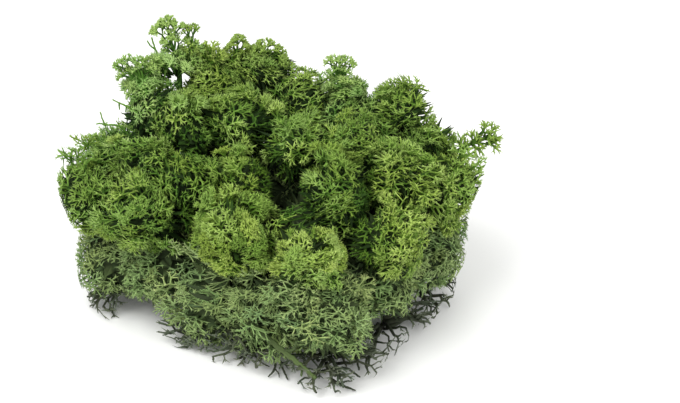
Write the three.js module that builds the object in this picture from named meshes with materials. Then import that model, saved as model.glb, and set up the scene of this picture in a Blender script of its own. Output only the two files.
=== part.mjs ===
// Reindeer moss clump: a handful of preserved and dyed reindeer lichen, pressed into a rectangular bed
// and heaped above it. Every tuft is one solid: a rough core with forked sprigs growing out of each face
// that is in the open. Under the outer tufts stand knots of dead, dark stems.
// Millimetres, +Z up, the floor is z = 0. The origin is the middle of the flat spot under the middle tuft.

import * as THREE from 'three';
import { mergeVertices } from 'three/addons/utils/BufferGeometryUtils.js';

// ---- Driving dimensions ----
const GAP = 0.3; // clear space between two tufts that press on each other
const HEART = new THREE.Vector3(0, 6, 20); // where the tufts' roots run together

// The bed that the lower tufts were pressed in: its floor, its rounded corners, how much each side leans out
// for its height, and its turn about Z. The upper tufts overhang its sides.
const BED = { length: 121, width: 91, corner: 17, lean: 9 / 55, turn: -32, overhang: 2.5 };

// A core is a ball, rough by a random share of its radius. It is lower on the outer side, where the sprigs
// stand, and reaches further towards the heart.
const CORE = { roughness: 0.07, outerDip: 0.38, rootReach: 0.9 };

// Sprigs: the lowest and the highest, as shares of the core's height, on large and on small faces, the
// shortest that is made, and how far their tips stay above the floor.
const SPRIG = { large: [1.16, 1.67], small: [0.48, 0.69], shortest: 1.2, floorClearance: 0.3 };

// Upper tufts: name, centre x, y, z, core radius, tone.
const UPPER_TUFTS = [
  ['front', 14, -49, 49, 12, 'fresh'],
  ['front_left', -11, -33, 51, 12.5, 'fresh'],
  ['left_front', -46, -14, 48, 13, 'green'],
  ['left', -65, 0, 46.5, 12.5, 'green'],
  ['left_rear', -57, 14, 52.5, 11.5, 'cool'],
  ['left_shoulder', -39, 21, 67, 10.5, 'cool'],
  ['left_sprig', -46, 22, 78, 6, 'cool'],
  ['upper_left', -29, 12, 67, 11, 'green'],
  ['upper_middle', -10, 14, 68, 11.5, 'green'],
  ['middle_left', -28, -8, 57, 11.5, 'green'],
  ['middle', -10, -12, 58, 11, 'fresh'],
  ['saddle_left', -42, 0, 59, 10.5, 'green'],
  ['centre_top', 12, 0, 65, 12, 'green'],
  ['centre', 24, -20, 57, 12.5, 'green'],
  ['saddle_right', 33, 3, 62, 11, 'green'],
  ['right_front', 42, -34, 46, 13, 'fresh'],
  ['right_middle', 46, -11, 57, 12.5, 'fresh'],
  ['right_end', 65, -2, 49.5, 12.5, 'fresh'],
  ['right_rear', 58, 14, 57, 11, 'green'],
  ['right_top', 47, 24, 66.5, 10.5, 'green'],
  ['crest_right', 30, 26, 63, 11, 'cool'],
  ['crest_sprig', 26, 26, 74, 7, 'cool'],
  ['crest_middle', 10, 27, 64.5, 11.5, 'green'],
  ['crest_head', -2, 36, 78.5, 9, 'green'],
  ['crest_small', -13, 35, 76, 8.5, 'green'],
  ['crest_left', -23, 31, 75.5, 10, 'fresh'],
  ['crest_fork', -27.5, 32.5, 83.5, 6, 'green'],
  ['crest_end', -38, 28, 82, 7, 'cool'],
  ['back_left', -46, 44, 50, 13.5, 'cool'],
  ['back_corner', -24, 58, 50, 13.5, 'green'],
  ['back_middle', 0, 52, 54, 13.5, 'green'],
  ['back_right', 24, 44, 51, 13.5, 'cool'],
  ['back_end', 46, 30, 46, 12.5, 'green'],
];

// Lower tufts, in the bed's own axes: name, along, across, centre height, core radius.
const LOWER_TUFTS = [
  ['low_front_1', -49, -28, 19.5, 15],
  ['low_front_2', -26, -30, 24.5, 14],
  ['low_front_3', -4, -32, 18.5, 15.5],
  ['low_front_4', 20, -30, 22, 15],
  ['low_front_5', 42, -28, 24, 15.5],
  ['low_right', 47, 2, 26, 15],
  ['low_back_1', -40, 26, 24, 17],
  ['low_back_2', -13, 27, 24, 17],
  ['low_back_3', 14, 27, 25, 17],
  ['low_back_4', 47, 29, 25, 15],
  ['low_left', -46, 0, 26, 14],
  ['low_heart', -22, 1, 28, 16],
  ['low_heart_right', 22, 1, 28, 16],
];

// The middle tuft is pressed on the floor and carries the flat spot at the origin.
const FOOT = { height: 13, radius: 18 };

// A tuft that rests on the floor or on a knot is full on that side: the share of its radius that its corners
// reach there, and the cosine of the widest angle from straight down.
const SEAT = { share: 1.06, cosine: 0.75 };

// Knots of dead stems: each stands under one lower tuft, and its stems spread over the floor.
// press is how far the knot's top reaches into the tuft's ball before the two are pressed flat, sink is the
// same at the floor, and faces that look further up or down than steepest carry no stem.
const ROOTED_TUFTS = ['low_front_1', 'low_front_3', 'low_front_4', 'low_front_5', 'low_right', 'low_back_1',
  'low_back_3', 'low_back_4', 'low_left'];
const KNOT = { radius: 5.5, press: 2.5, sink: 0.4, stem: [2.7, 3.9], steepest: 0.6 };

// Sprays: open sprigs that stand well above their tuft: tuft, tip x, y, z.
const SPRAYS = [
  ['crest_end', -41, 29, 107.5],
  ['crest_fork', -29, 32, 104],
  ['left_sprig', -56, 23, 93],
  ['crest_small', -13.5, 35, 93],
  ['crest_sprig', 26, 26, 90],
  ['right_rear', 88, 20, 67],
];

// ---- Colours ----
const TONES = { fresh: 0x83a63c, green: 0x557f33, cool: 0x47803a, shade: 0x5d7040, dead: 0x353a2e };

// ---- How a sprig forks, from its foot to its tips ----
// Each step is a ring, or at the end a tip, at a share of the sprig's height. spread is how far a shoot
// leans out of its parent and girth is its half width, as shares of the face. A bare shoot goes on from its
// ring without a fork.
const SPIKE = [{ rise: 0.75 }];
const FORK = [
  { rise: 0.3, girth: 0.3 },
  { rise: 1, spread: 0.58 },
];
const CLAW = [
  { rise: 0.2, girth: 0.22 },
  { rise: 1, spread: 0.5 },
];
const BUSH = [
  { rise: 0.1, girth: 0.22 },
  { rise: 0.6, spread: 0.42, girth: 0.19 },
  { rise: 1, spread: 0.32 },
];
const DEAD_STEM = [
  { rise: 0.08, girth: 0.22 },
  { rise: 0.5, girth: 0.08, bare: true },
  { rise: 1, spread: 0.3 },
];
function sprayPlan(width) {
  return [
    { rise: 0.1, girth: 0.2 * width },
    { rise: 0.45, girth: 0.075, bare: true },
    { rise: 0.68, spread: 0.27 * width, girth: 0.05 },
    { rise: 0.86, spread: 0.18 * width, girth: 0.035 },
    { rise: 1, spread: 0.11 * width },
  ];
}
const SPRAY_WIDTHS = [1, 0.8, 0.65, 0.5, 0.4]; // the widest that its cell has room for is taken
const SPRIG_SHARES = [1, 0.9, 0.8, 0.7, 0.6, 0.5, 0.4, 0.3]; // so is the tallest share of a sprig's height
const BUSH_SHARE = 0.62; // share of the large open faces that carry a bush of nine tips, and the rest a claw
const FORK_SHARE = 0.36; // share of the small open faces that carry a fork, and the rest a single spike
const JITTER = { tip: 0.06, fork: 0.03, rise: 0.12 }; // random shifts, as shares of the face and height
const CROTCH_RISE = 0.15; // how far the middle of a fork is raised towards its shoots' ends

// ---- Which faces are in the open ----
const OPEN = {
  rootSide: 0.3, // a face that looks towards the heart more than this carries nothing
  tipReach: 1.1, // where a sprig's outlook starts, in core radii
  skySlant: 1, // how steeply the second outlook, up from the tip, rises against the face's own
};
const WALL_COUNT = 8; // the bed's four sides and four corners
const THIRD_TURN = (2 * Math.PI) / 3;
const SEEDS = { site: 7001, perSite: 1000, perFace: 5 };

// Small seeded random generator, so that every build is the same.
function seededRandom(seed) {
  let state = seed >>> 0;
  return () => {
    state = (state + 0x6d2b79f5) >>> 0;
    let t = state;
    t = Math.imul(t ^ (t >>> 15), t | 1);
    t ^= t + Math.imul(t ^ (t >>> 7), t | 61);
    return ((t ^ (t >>> 14)) >>> 0) / 4294967296;
  };
}

function between([low, high], random) {
  return low + (high - low) * random();
}

const bedTurn = THREE.MathUtils.degToRad(BED.turn);
const bedAlong = new THREE.Vector3(Math.cos(bedTurn), Math.sin(bedTurn), 0);
const bedAcross = new THREE.Vector3(-Math.sin(bedTurn), Math.cos(bedTurn), 0);

function fromBed(along, across, z) {
  return new THREE.Vector3(0, 0, z).addScaledVector(bedAlong, along).addScaledVector(bedAcross, across);
}

// The bed's leaning sides, with its corners cut off, as planes: normal . point <= limit.
function bedWalls() {
  const along = BED.length / 2;
  const across = BED.width / 2;
  const diagonal = (along + across - 2 * BED.corner) * Math.SQRT1_2 + BED.corner;
  const limits = [along, diagonal, across, diagonal];
  const walls = [];
  for (let k = 0; k < WALL_COUNT; k += 1) {
    const angle = (k * 2 * Math.PI) / WALL_COUNT;
    const normal = fromBed(Math.cos(angle), Math.sin(angle), -BED.lean);
    walls.push({ normal, limit: limits[k % limits.length] });
  }
  return walls;
}

// Where each tuft and knot grows. aim is the direction that a face, or with byCorner a corner, of its core
// is turned to, and squash is the core's height against its width.
function listSites() {
  const down = new THREE.Vector3(0, 0, -1);
  const upper = UPPER_TUFTS.map(([name, x, y, z, radius, tone]) => {
    const centre = new THREE.Vector3(x, y, z);
    const row = SPRAYS.find(([tuft]) => tuft === name);
    const spray = row ? new THREE.Vector3(row[1], row[2], row[3]) : null;
    const aim = spray ? spray.clone().sub(centre).normalize() : null;
    return { name: `tuft_${name}`, centre, radius, tone, overhang: BED.overhang, aim, spray };
  });
  const lower = LOWER_TUFTS.map(([name, along, across, z, radius]) => {
    const rooted = ROOTED_TUFTS.includes(name);
    const centre = fromBed(along, across, z);
    const seat = rooted ? { aim: down, byCorner: true, isSeated: true } : {};
    return { name: `tuft_${name}`, centre, radius, tone: 'shade', ...seat };
  });
  const footCentre = new THREE.Vector3(0, 0, FOOT.height);
  const footSize = { centre: footCentre, radius: FOOT.radius };
  const foot = { name: 'tuft_foot', ...footSize, tone: 'shade', aim: down, isSeated: true };
  const knots = LOWER_TUFTS.filter(([name]) => ROOTED_TUFTS.includes(name)).map((row) => {
    const [name, along, across, z, radius] = row;
    const halfHeight = (z - radius + KNOT.press) / 2;
    const centre = fromBed(along, across, halfHeight - KNOT.sink);
    const size = { centre, radius: KNOT.radius, squash: halfHeight / KNOT.radius };
    return { name: `stems_${name}`, ...size, tone: 'dead', aim: down, isKnot: true };
  });
  const plain = { squash: 1, overhang: 0, aim: null, byCorner: false, spray: null };
  const kinds = { isKnot: false, isSeated: false };
  return [...upper, ...lower, foot, ...knots].map((site) => ({ ...plain, ...kinds, ...site }));
}

// Each site has its own cell, bounded by the bed's sides, the floor, and the planes where its ball meets its
// neighbours' balls. A plane keeps half the gap.
function cellOf(site, sites, walls) {
  const planes = walls.map(({ normal, limit }) => ({ normal, limit: limit + site.overhang }));
  planes.push({ normal: new THREE.Vector3(0, 0, -1), limit: 0 });
  const ownRadius = site.radius * site.squash;
  for (const other of sites) {
    if (other === site) continue;
    const otherRadius = other.radius * other.squash;
    const normal = other.centre.clone().sub(site.centre);
    const distance = normal.length();
    normal.divideScalar(distance);
    const share = (distance ** 2 + ownRadius ** 2 - otherRadius ** 2) / (2 * distance);
    planes.push({ normal, limit: normal.dot(site.centre) + share - GAP / 2 });
  }
  return planes;
}

// How many times the vector fits from the site's centre before it leaves the cell.
function reach(centre, vector, planes) {
  let longest = Infinity;
  for (const { normal, limit } of planes) {
    const speed = normal.dot(vector);
    if (speed > 0) longest = Math.min(longest, (limit - normal.dot(centre)) / speed);
  }
  return longest;
}

function isInside(point, planes) {
  return point.z > SPRIG.floorClearance && planes.every(({ normal, limit }) => normal.dot(point) <= limit);
}

// Whether a sprig that grows along outlook is in the open: from its tip, a straight line along the outlook
// or one that slants up from it misses the cores of all other tufts.
function isOpen(site, outlook, sites) {
  const tip = site.centre.clone().addScaledVector(outlook, site.radius * OPEN.tipReach);
  const upward = outlook.clone().add(new THREE.Vector3(0, 0, OPEN.skySlant)).normalize();
  return [outlook, upward].some((direction) => sites.every((other) => {
    if (other === site) return true;
    const away = other.centre.clone().sub(tip);
    const ahead = Math.max(0, away.dot(direction));
    return away.addScaledVector(direction, -ahead).length() > other.radius;
  }));
}

// A unit ball with 20 large faces, each split into four small ones. A large face keeps its corners, the
// middles of its edges, and its outlook, the direction it looks in.
function unitBall(aim, byCorner, spin) {
  const geometry = new THREE.IcosahedronGeometry(1, 0);
  geometry.deleteAttribute('normal');
  geometry.deleteAttribute('uv');
  const merged = mergeVertices(geometry);
  const position = merged.getAttribute('position');
  const corners = [];
  for (let i = 0; i < position.count; i += 1) {
    corners.push(new THREE.Vector3().fromBufferAttribute(position, i));
  }
  const middles = new Map();
  const middleOf = (i, j) => {
    const key = `${Math.min(i, j)}-${Math.max(i, j)}`;
    if (!middles.has(key)) {
      corners.push(corners[i].clone().add(corners[j]).normalize());
      middles.set(key, corners.length - 1);
    }
    return middles.get(key);
  };
  const faces = [];
  for (let i = 0; i < merged.index.count; i += 3) {
    const [a, b, c] = [0, 1, 2].map((k) => merged.index.getX(i + k));
    faces.push({ corners: [a, b, c], middles: [middleOf(a, b), middleOf(b, c), middleOf(c, a)] });
  }
  const aimed = byCorner ? corners[0].clone() : outlookOf(faces[0].corners, corners);
  const turn = new THREE.Quaternion().setFromUnitVectors(aimed, aim);
  const roll = new THREE.Quaternion().setFromAxisAngle(aim, spin);
  for (const corner of corners) corner.applyQuaternion(turn).applyQuaternion(roll);
  for (const face of faces) face.outlook = outlookOf(face.corners, corners);
  return { corners, faces };
}

function outlookOf(face, corners) {
  return face.reduce((sum, i) => sum.add(corners[i]), new THREE.Vector3()).normalize();
}

function smallFaces({ corners: [a, b, c], middles: [ab, bc, ca] }) {
  return [[a, ab, ca], [ab, b, bc], [ca, bc, c], [ab, bc, ca]];
}

// The cone over one face of a core, as a function that turns a spot in the cone into a point:
// x and y lie across the face, whose corners are 1 from its middle, and rise is the height over it.
const CORNER_ANGLES = [90, 210, 330].map(THREE.MathUtils.degToRad);
function coneOver(centre, face, height) {
  return (x, y, rise) => {
    const point = new THREE.Vector3();
    face.forEach((corner, k) => {
      const along = x * Math.cos(CORNER_ANGLES[k]) + y * Math.sin(CORNER_ANGLES[k]);
      point.addScaledVector(corner, (1 + 2 * along) / 3);
    });
    return point.multiplyScalar(1 + rise * height).add(centre);
  };
}

// The foot of a shoot: from its base outline up to its ring. The outline has three corners and, round a
// large face, the middle of each edge after its first corner.
function growFoot(sprig, outline, ring) {
  const stride = outline.length / 3;
  for (let k = 0; k < 3; k += 1) {
    const corner = outline[k * stride];
    const nextCorner = outline[((k + 1) * stride) % outline.length];
    const nextRing = ring[(k + 1) % 3];
    if (stride === 2) {
      const middle = outline[k * stride + 1];
      sprig.triangles.push([corner, middle, nextRing], [middle, nextCorner, nextRing]);
    } else {
      sprig.triangles.push([corner, nextCorner, nextRing]);
    }
    sprig.triangles.push([corner, nextRing, ring[k]]);
  }
}

// One shoot: from its base to a ring, which carries one bare shoot or three forks, or to a tip.
function growShoot(sprig, base, spot, phase, plan, level, random) {
  const step = plan[level];
  const shift = (size) => (random() - 0.5) * 2 * size;
  if (level === plan.length - 1) {
    const rise = step.rise * (1 - random() * JITTER.rise);
    const tip = sprig.add(spot.x + shift(JITTER.tip), spot.y + shift(JITTER.tip), rise);
    base.forEach((corner, k) => sprig.triangles.push([corner, base[(k + 1) % base.length], tip]));
    return;
  }
  const ring = [0, 1, 2].map((k) => {
    const angle = phase + k * THIRD_TURN;
    const x = spot.x + step.girth * Math.cos(angle);
    const y = spot.y + step.girth * Math.sin(angle);
    return sprig.add(x, y, step.rise);
  });
  growFoot(sprig, base, ring);
  const following = plan[level + 1];
  if (following.bare) {
    growShoot(sprig, ring, spot, phase, plan, level + 1, random);
    return;
  }
  const crotch = sprig.add(spot.x, spot.y, step.rise + (following.rise - step.rise) * CROTCH_RISE);
  for (let k = 0; k < 3; k += 1) {
    const turned = phase + k * THIRD_TURN;
    const lean = turned + THIRD_TURN / 2;
    const child = {
      x: spot.x + following.spread * Math.cos(lean) + shift(JITTER.fork),
      y: spot.y + following.spread * Math.sin(lean) + shift(JITTER.fork),
    };
    growShoot(sprig, [ring[k], ring[(k + 1) % 3], crotch], child, turned, plan, level + 1, random);
  }
}

// A whole sprig over one face of a core, or null where it would leave the cell. tallness is its height as
// a share of the core's. Its triangles name the core's corner i as -1 - i and its own points from 0.
function growSprig(core, face, outline, plan, tallness, planes, seed) {
  const offsets = face.map((i) => core.corners[i]);
  const place = coneOver(core.centre, offsets, tallness);
  const sprig = { points: [], triangles: [] };
  sprig.add = (x, y, rise) => sprig.points.push(place(x, y, rise)) - 1;
  const base = outline.map((i) => -1 - i);
  growShoot(sprig, base, { x: 0, y: 0 }, Math.PI / 6, plan, 0, seededRandom(seed));
  return sprig.points.every((point) => isInside(point, planes)) ? sprig : null;
}

// The tallest share of a sprig that the cell has room for, or null.
function fitSprig(core, face, outline, plan, tallness, planes, seed) {
  const base = heightOf(core, face);
  for (const share of SPRIG_SHARES) {
    if (tallness * share * base < SPRIG.shortest) return null;
    const sprig = growSprig(core, face, outline, plan, tallness * share, planes, seed);
    if (sprig) return sprig;
  }
  return null;
}

// The widest spray that the cell has room for, bed sides aside, or null.
function fitSpray(core, face, outline, tip, planes, seed) {
  const tallness = tip.distanceTo(core.centre) / heightOf(core, face) - 1;
  for (const width of SPRAY_WIDTHS) {
    const plan = sprayPlan(width);
    const spray = growSprig(core, face, outline, plan, tallness, planes.slice(WALL_COUNT), seed);
    if (spray) return spray;
  }
  return null;
}

function heightOf(core, face) {
  return face.reduce((sum, i) => sum + core.corners[i].length(), 0) / face.length;
}

// The core's corners, measured from the site's centre and held inside the cell.
function coreCorners(site, ball, inward, planes, random) {
  return ball.corners.map((direction) => {
    const towardsRoot = direction.dot(inward);
    let share = 1 + (random() - 0.5) * 2 * CORE.roughness;
    if (!site.isKnot) {
      share += CORE.rootReach * Math.max(0, towardsRoot) ** 3;
      share -= CORE.outerDip * Math.sqrt(Math.max(0, -towardsRoot));
    }
    if (site.isSeated && direction.dot(site.aim) > SEAT.cosine) share = SEAT.share;
    const ray = direction.clone();
    ray.z *= site.squash;
    return ray.multiplyScalar(Math.min(site.radius * share, reach(site.centre, ray, planes)));
  });
}

// The shape of one site: its core and a sprig on each open face.
function growSite(site, index, sites, planes) {
  const random = seededRandom(SEEDS.site + index);
  const inward = HEART.clone().sub(site.centre).normalize();
  const anyWay = new THREE.Vector3(random() - 0.5, random() - 0.5, random() - 0.5).normalize();
  const ball = unitBall(site.aim ?? anyWay, site.byCorner, random() * 2 * Math.PI);
  const core = { centre: site.centre, corners: coreCorners(site, ball, inward, planes, random) };
  const points = core.corners.map((corner) => corner.clone().add(site.centre));
  const triangles = [];

  const addSprig = (sprig) => {
    const first = points.length;
    points.push(...sprig.points);
    for (const triangle of sprig.triangles) {
      triangles.push(triangle.map((i) => (i < 0 ? -1 - i : first + i)));
    }
  };
  const isOutward = (outlook) => outlook.dot(inward) < OPEN.rootSide && isOpen(site, outlook, sites);

  // A large face carries a spray, a stem, a bush or a claw, or null where it has to stay as it is.
  const coverLarge = (face, faceIndex, seed) => {
    const [a, b, c] = face.corners;
    const [ab, bc, ca] = face.middles;
    if (site.isKnot) {
      const isLevel = Math.abs(face.outlook.z) < KNOT.steepest;
      const tallness = between(KNOT.stem, random);
      if (!isLevel || !isOpen(site, face.outlook, sites)) return null;
      return fitSprig(core, face.corners, face.corners, DEAD_STEM, tallness, planes, seed);
    }
    const outline = [a, ab, b, bc, c, ca];
    if (site.spray && faceIndex === 0) {
      const spray = fitSpray(core, face.corners, outline, site.spray, planes, seed);
      if (spray) return spray;
    }
    const plan = random() < BUSH_SHARE ? BUSH : CLAW;
    const tallness = between(SPRIG.large, random);
    if (!isOutward(face.outlook)) return null;
    return fitSprig(core, face.corners, outline, plan, tallness, planes, seed);
  };

  // A small face carries a fork or a spike, or null.
  const coverSmall = (small, seed) => {
    const plan = random() < FORK_SHARE ? FORK : SPIKE;
    const tallness = between(SPRIG.small, random);
    if (!isOutward(outlookOf(small, ball.corners))) return null;
    return fitSprig(core, small, small, plan, tallness, planes, seed);
  };

  ball.faces.forEach((face, faceIndex) => {
    const seed = index * SEEDS.perSite + faceIndex * SEEDS.perFace;
    const sprig = coverLarge(face, faceIndex, seed);
    if (sprig) {
      addSprig(sprig);
    } else if (site.isKnot) {
      triangles.push(face.corners);
    } else {
      smallFaces(face).forEach((small, k) => {
        const smallSprig = coverSmall(small, seed + k + 1);
        if (smallSprig) addSprig(smallSprig);
        else triangles.push(small);
      });
    }
  });

  const used = [...new Set(triangles.flat())];
  const place = new Map(used.map((i, k) => [i, k]));
  const geometry = new THREE.BufferGeometry();
  const offsets = used.flatMap((i) => points[i].clone().sub(site.centre).toArray());
  geometry.setAttribute('position', new THREE.Float32BufferAttribute(offsets, 3));
  geometry.setIndex(triangles.flat().map((i) => place.get(i)));
  geometry.computeVertexNormals();
  return geometry;
}

function buildClump() {
  const clump = new THREE.Group();
  const walls = bedWalls();
  const sites = listSites();
  sites.forEach((site, index) => {
    const geometry = growSite(site, index, sites, cellOf(site, sites, walls));
    const finish = { roughness: 0.95, metalness: 0, flatShading: true };
    const material = new THREE.MeshStandardMaterial({ color: TONES[site.tone], ...finish });
    const mesh = new THREE.Mesh(geometry, material);
    mesh.name = site.name;
    mesh.position.copy(site.centre);
    clump.add(mesh);
  });
  return clump;
}

export default buildClump();
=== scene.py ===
"""Reindeer moss clump: the looks of a heap of preserved, dyed reindeer lichen.

Each tuft is grown as a small dark core, painted shade of the tuft's inside, with rounded heads round it. A
head is one stem that forks in three, over and over, until its last shoots end in small stars. Lengths are
millimetres until a piece is made of them, in the row's frame: +Z up, the floor is z = 0.
"""

import math

import bpy
import numpy as np
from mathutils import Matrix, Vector


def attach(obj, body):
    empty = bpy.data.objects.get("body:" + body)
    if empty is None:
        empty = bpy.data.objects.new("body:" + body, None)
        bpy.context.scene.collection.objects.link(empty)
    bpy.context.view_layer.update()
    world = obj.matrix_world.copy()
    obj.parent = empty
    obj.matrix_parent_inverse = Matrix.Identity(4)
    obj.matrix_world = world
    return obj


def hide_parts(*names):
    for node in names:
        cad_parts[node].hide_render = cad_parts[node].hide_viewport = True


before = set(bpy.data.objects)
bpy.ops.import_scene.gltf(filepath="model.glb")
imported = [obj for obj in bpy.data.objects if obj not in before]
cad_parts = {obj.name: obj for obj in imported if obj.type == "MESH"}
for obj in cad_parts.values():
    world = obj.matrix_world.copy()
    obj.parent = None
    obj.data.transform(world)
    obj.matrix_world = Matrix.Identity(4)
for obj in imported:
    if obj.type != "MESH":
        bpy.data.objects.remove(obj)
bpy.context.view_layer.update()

MM = 0.001

# ---- Where the tufts are, as in the solids ----
HEART = np.array([0.0, 6.0, 20.0])
BED_LENGTH, BED_WIDTH, BED_CORNER = 121.0, 91.0, 17.0
BED_LEAN = 9 / 55  # how far the bed's sides go out for each millimetre up
BED_TURN = math.radians(-32)

# name: centre x, y, z, core radius, tone
UPPER_TUFTS = {
    "front": (14, -49, 49, 12, "fresh"),
    "front_left": (-11, -33, 51, 12.5, "fresh"),
    "left_front": (-46, -14, 48, 13, "green"),
    "left": (-65, 0, 46.5, 12.5, "green"),
    "left_rear": (-57, 14, 52.5, 11.5, "cool"),
    "left_shoulder": (-39, 21, 67, 10.5, "cool"),
    "left_sprig": (-46, 22, 78, 6, "cool"),
    "upper_left": (-29, 12, 67, 11, "green"),
    "upper_middle": (-10, 14, 68, 11.5, "green"),
    "middle_left": (-28, -8, 57, 11.5, "green"),
    "middle": (-10, -12, 58, 11, "fresh"),
    "saddle_left": (-42, 0, 59, 10.5, "green"),
    "centre_top": (12, 0, 65, 12, "green"),
    "centre": (24, -20, 57, 12.5, "green"),
    "saddle_right": (33, 3, 62, 11, "green"),
    "right_front": (42, -34, 46, 13, "fresh"),
    "right_middle": (46, -11, 57, 12.5, "fresh"),
    "right_end": (65, -2, 49.5, 12.5, "fresh"),
    "right_rear": (58, 14, 57, 11, "green"),
    "right_top": (47, 24, 66.5, 10.5, "green"),
    "crest_right": (30, 26, 63, 11, "cool"),
    "crest_sprig": (26, 26, 74, 7, "cool"),
    "crest_middle": (10, 27, 64.5, 11.5, "green"),
    "crest_head": (-2, 36, 78.5, 9, "green"),
    "crest_small": (-13, 35, 76, 8.5, "green"),
    "crest_left": (-23, 31, 75.5, 10, "fresh"),
    "crest_fork": (-27.5, 32.5, 83.5, 6, "green"),
    "crest_end": (-38, 28, 82, 7, "cool"),
    "back_left": (-46, 44, 50, 13.5, "cool"),
    "back_corner": (-24, 58, 50, 13.5, "green"),
    "back_middle": (0, 52, 54, 13.5, "green"),
    "back_right": (24, 44, 51, 13.5, "cool"),
    "back_end": (46, 30, 46, 12.5, "green"),
}
REACHES = {  # how far out a tuft's heads end, as a share of the usual
    "crest_right": 0.84, "right_end": 0.94, "crest_sprig": 0.8, "right_top": 0.92, "right_rear": 0.84,
    "crest_head": 0.88, "left_shoulder": 0.86, "left_sprig": 0.78, "front": 0.9, "crest_fork": 0.85,
    "crest_end": 0.78,
}
LEANS = {  # how far a tuft's heads lean out of its middle
    "front": (2, 0, 3), "right_top": (-2, 0, 0), "crest_head": (-2, 0, 0), "left_shoulder": (2, 0, 0),
}
AIRY_TUFTS = ("left_sprig", "crest_fork", "crest_end", "crest_sprig")  # no core, and light between their stems

# name: along the bed, across it, centre height, core radius, and the height that its heads begin at
LOWER_TUFTS = {
    "low_front_1": (-49, -28, 19.5, 15, 12),
    "low_front_2": (-26, -30, 24.5, 14, 13),
    "low_front_3": (-4, -32, 18.5, 15.5, 7),
    "low_front_4": (20, -30, 22, 15, 11),
    "low_front_5": (42, -28, 24, 15.5, 20),
    "low_right": (47, 2, 26, 15, 22),
    "low_back_1": (-40, 26, 24, 17, 8),
    "low_back_2": (-13, 27, 24, 17, 8),
    "low_back_3": (14, 27, 25, 17, 10),
    "low_back_4": (47, 29, 25, 15, 14),
    "low_left": (-46, 0, 26, 14, 14),
    "low_heart": (-22, 1, 28, 16, 6),
    "low_heart_right": (22, 1, 28, 16, 6),
    "foot": (0, 0, 13, 18, 5),
}
HIDDEN_TUFTS = ("low_heart", "low_heart_right", "foot")  # inside the clump, with large cores
# the heights between which the upper tufts' heads begin
UPPER_HEIGHTS = (40.0, math.inf)
HEIGHTS = {"front": (47.0, 57.0), "front_left": (40.0, 59.0)}
# more heads in the dips between the tufts: x, y, z and radius
DIP_HEADS = {
    "centre": ((10.5, -34, 54.5, 5.2), (17.5, -36, 54.5, 5.4), (23, -38, 52, 5), (12, -29, 56, 4.6)),
    "front_left": ((4, -38, 51, 5.4), (3, -44, 47, 5.4)),
    "crest_head": ((0, 31, 79.5, 4.6), (5.5, 30, 76.5, 4.6), (-6, 31, 79.5, 4.4)),
    "front": ((22, -43, 53, 5), (8, -46, 52, 5)),
    "low_front_2": ((-24, -33, 43, 5.5), (-30, -30, 42, 5)),
    "low_front_3": ((2, -46, 40, 5.5), (-8, -43, 41, 5.5)),
    "low_front_5": ((28, -51, 38, 4.8), (11, -56, 33, 4.8), (17, -57, 34, 4.6), (33, -49, 36, 4.6)),
    "low_front_4": ((9, -55, 41.5, 5), (14, -57, 41, 4.8), (4, -54, 38, 4.8)),
    "right_top": (
        (46.5, 24, 76.5, 4.6), (50, 24, 76, 4.6), (42.5, 24, 76, 4.2), (55.5, 22, 67, 4.6),
        (57.5, 20, 64.5, 4.4),
    ),
    "left": ((-66, 8, 62.5, 4.8), (-71, 3, 58, 4.6), (-62, 11, 63, 4.4)),
    "left_front": ((-31, -17, 45, 4.6), (-33, -21, 38.5, 4.6), (-28, -19, 50, 4.4), (-36, -26, 43, 4.4)),
    "right_rear": ((66, 17, 50, 4.6), (69, 14, 47, 4.4), (60, 7, 64.5, 4.4)),
    "right_end": ((63.5, -14, 57, 4.8), (66.5, -12, 56, 4.4)),
    "low_back_2": (
        (-6, 38, 42, 6.4), (0, 30, 44, 6), (-6.8, 40, 39.2, 3.2), (-6.8, 45, 36.6, 3.2), (-6.9, 50, 33.6, 3.4),
        (-0.2, 45, 37, 3.6), (-0.2, 39, 40.2, 3.6),
    ),
    "low_back_1": ((-12, 46, 39, 6.2),),
    "back_middle": ((-5, 37, 47, 6.4),),
    "crest_middle": ((-3, 22, 54.5, 6), (-7, 18, 58, 5.4)),
}
# the lower tufts with a knot of dead stems under them
KNOTTED_TUFTS = (
    "low_front_1", "low_front_3", "low_front_4", "low_front_5", "low_right",
    "low_back_1", "low_back_3", "low_back_4", "low_left",
)

# ---- How heads grow ----


def head_kind(shells, spreads, girths, star, pull):
    """How one kind of head grows. shells: how far out each fork lies, as shares of the head's radius; spreads:
    how far the shoots lean out of their parent at each fork, in degrees; girths: half widths of the shoots at
    each fork; star: length of the last shoots; pull: how strongly shoots turn straight out."""
    return {"shells": shells, "spreads": spreads, "girths": girths, "star": star, "pull": pull}


HEAD = head_kind((0.34, 0.66, 0.93), (42, 50, 47, 48), (0.5, 0.39, 0.31, 0.26), 1.25, 0.26)
FINE_HEAD = head_kind(
    (0.28, 0.56, 0.79, 0.95), (40, 50, 48, 46, 50), (0.58, 0.46, 0.38, 0.32, 0.28), 1.2, 0.28
)
UMBEL = head_kind((0.45, 0.72, 0.88, 0.97), (30, 36, 40, 42, 48), (0.42, 0.36, 0.33, 0.3, 0.28), 0.9, 0.3)
SMALL_UMBEL = head_kind((0.5, 0.8, 0.97), (32, 40, 42, 48), (0.4, 0.35, 0.31, 0.28), 1.1, 0.3)
ANTLER = head_kind((0.42, 0.74, 1.0), (34, 38, 40, 40), (0.48, 0.4, 0.34, 0.28), 1.6, 0.12)
STAGHORN = head_kind((0.5, 1.0), (44, 46, 42), (0.72, 0.56, 0.42), 1.9, 0.1)
UNDERGROWTH = head_kind((0.55, 0.95), (46, 50, 48), (0.46, 0.37, 0.29), 1.15, 0.25)
FINE_TUFTS = ("front", "front_left")  # their heads are finer than the others
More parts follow.
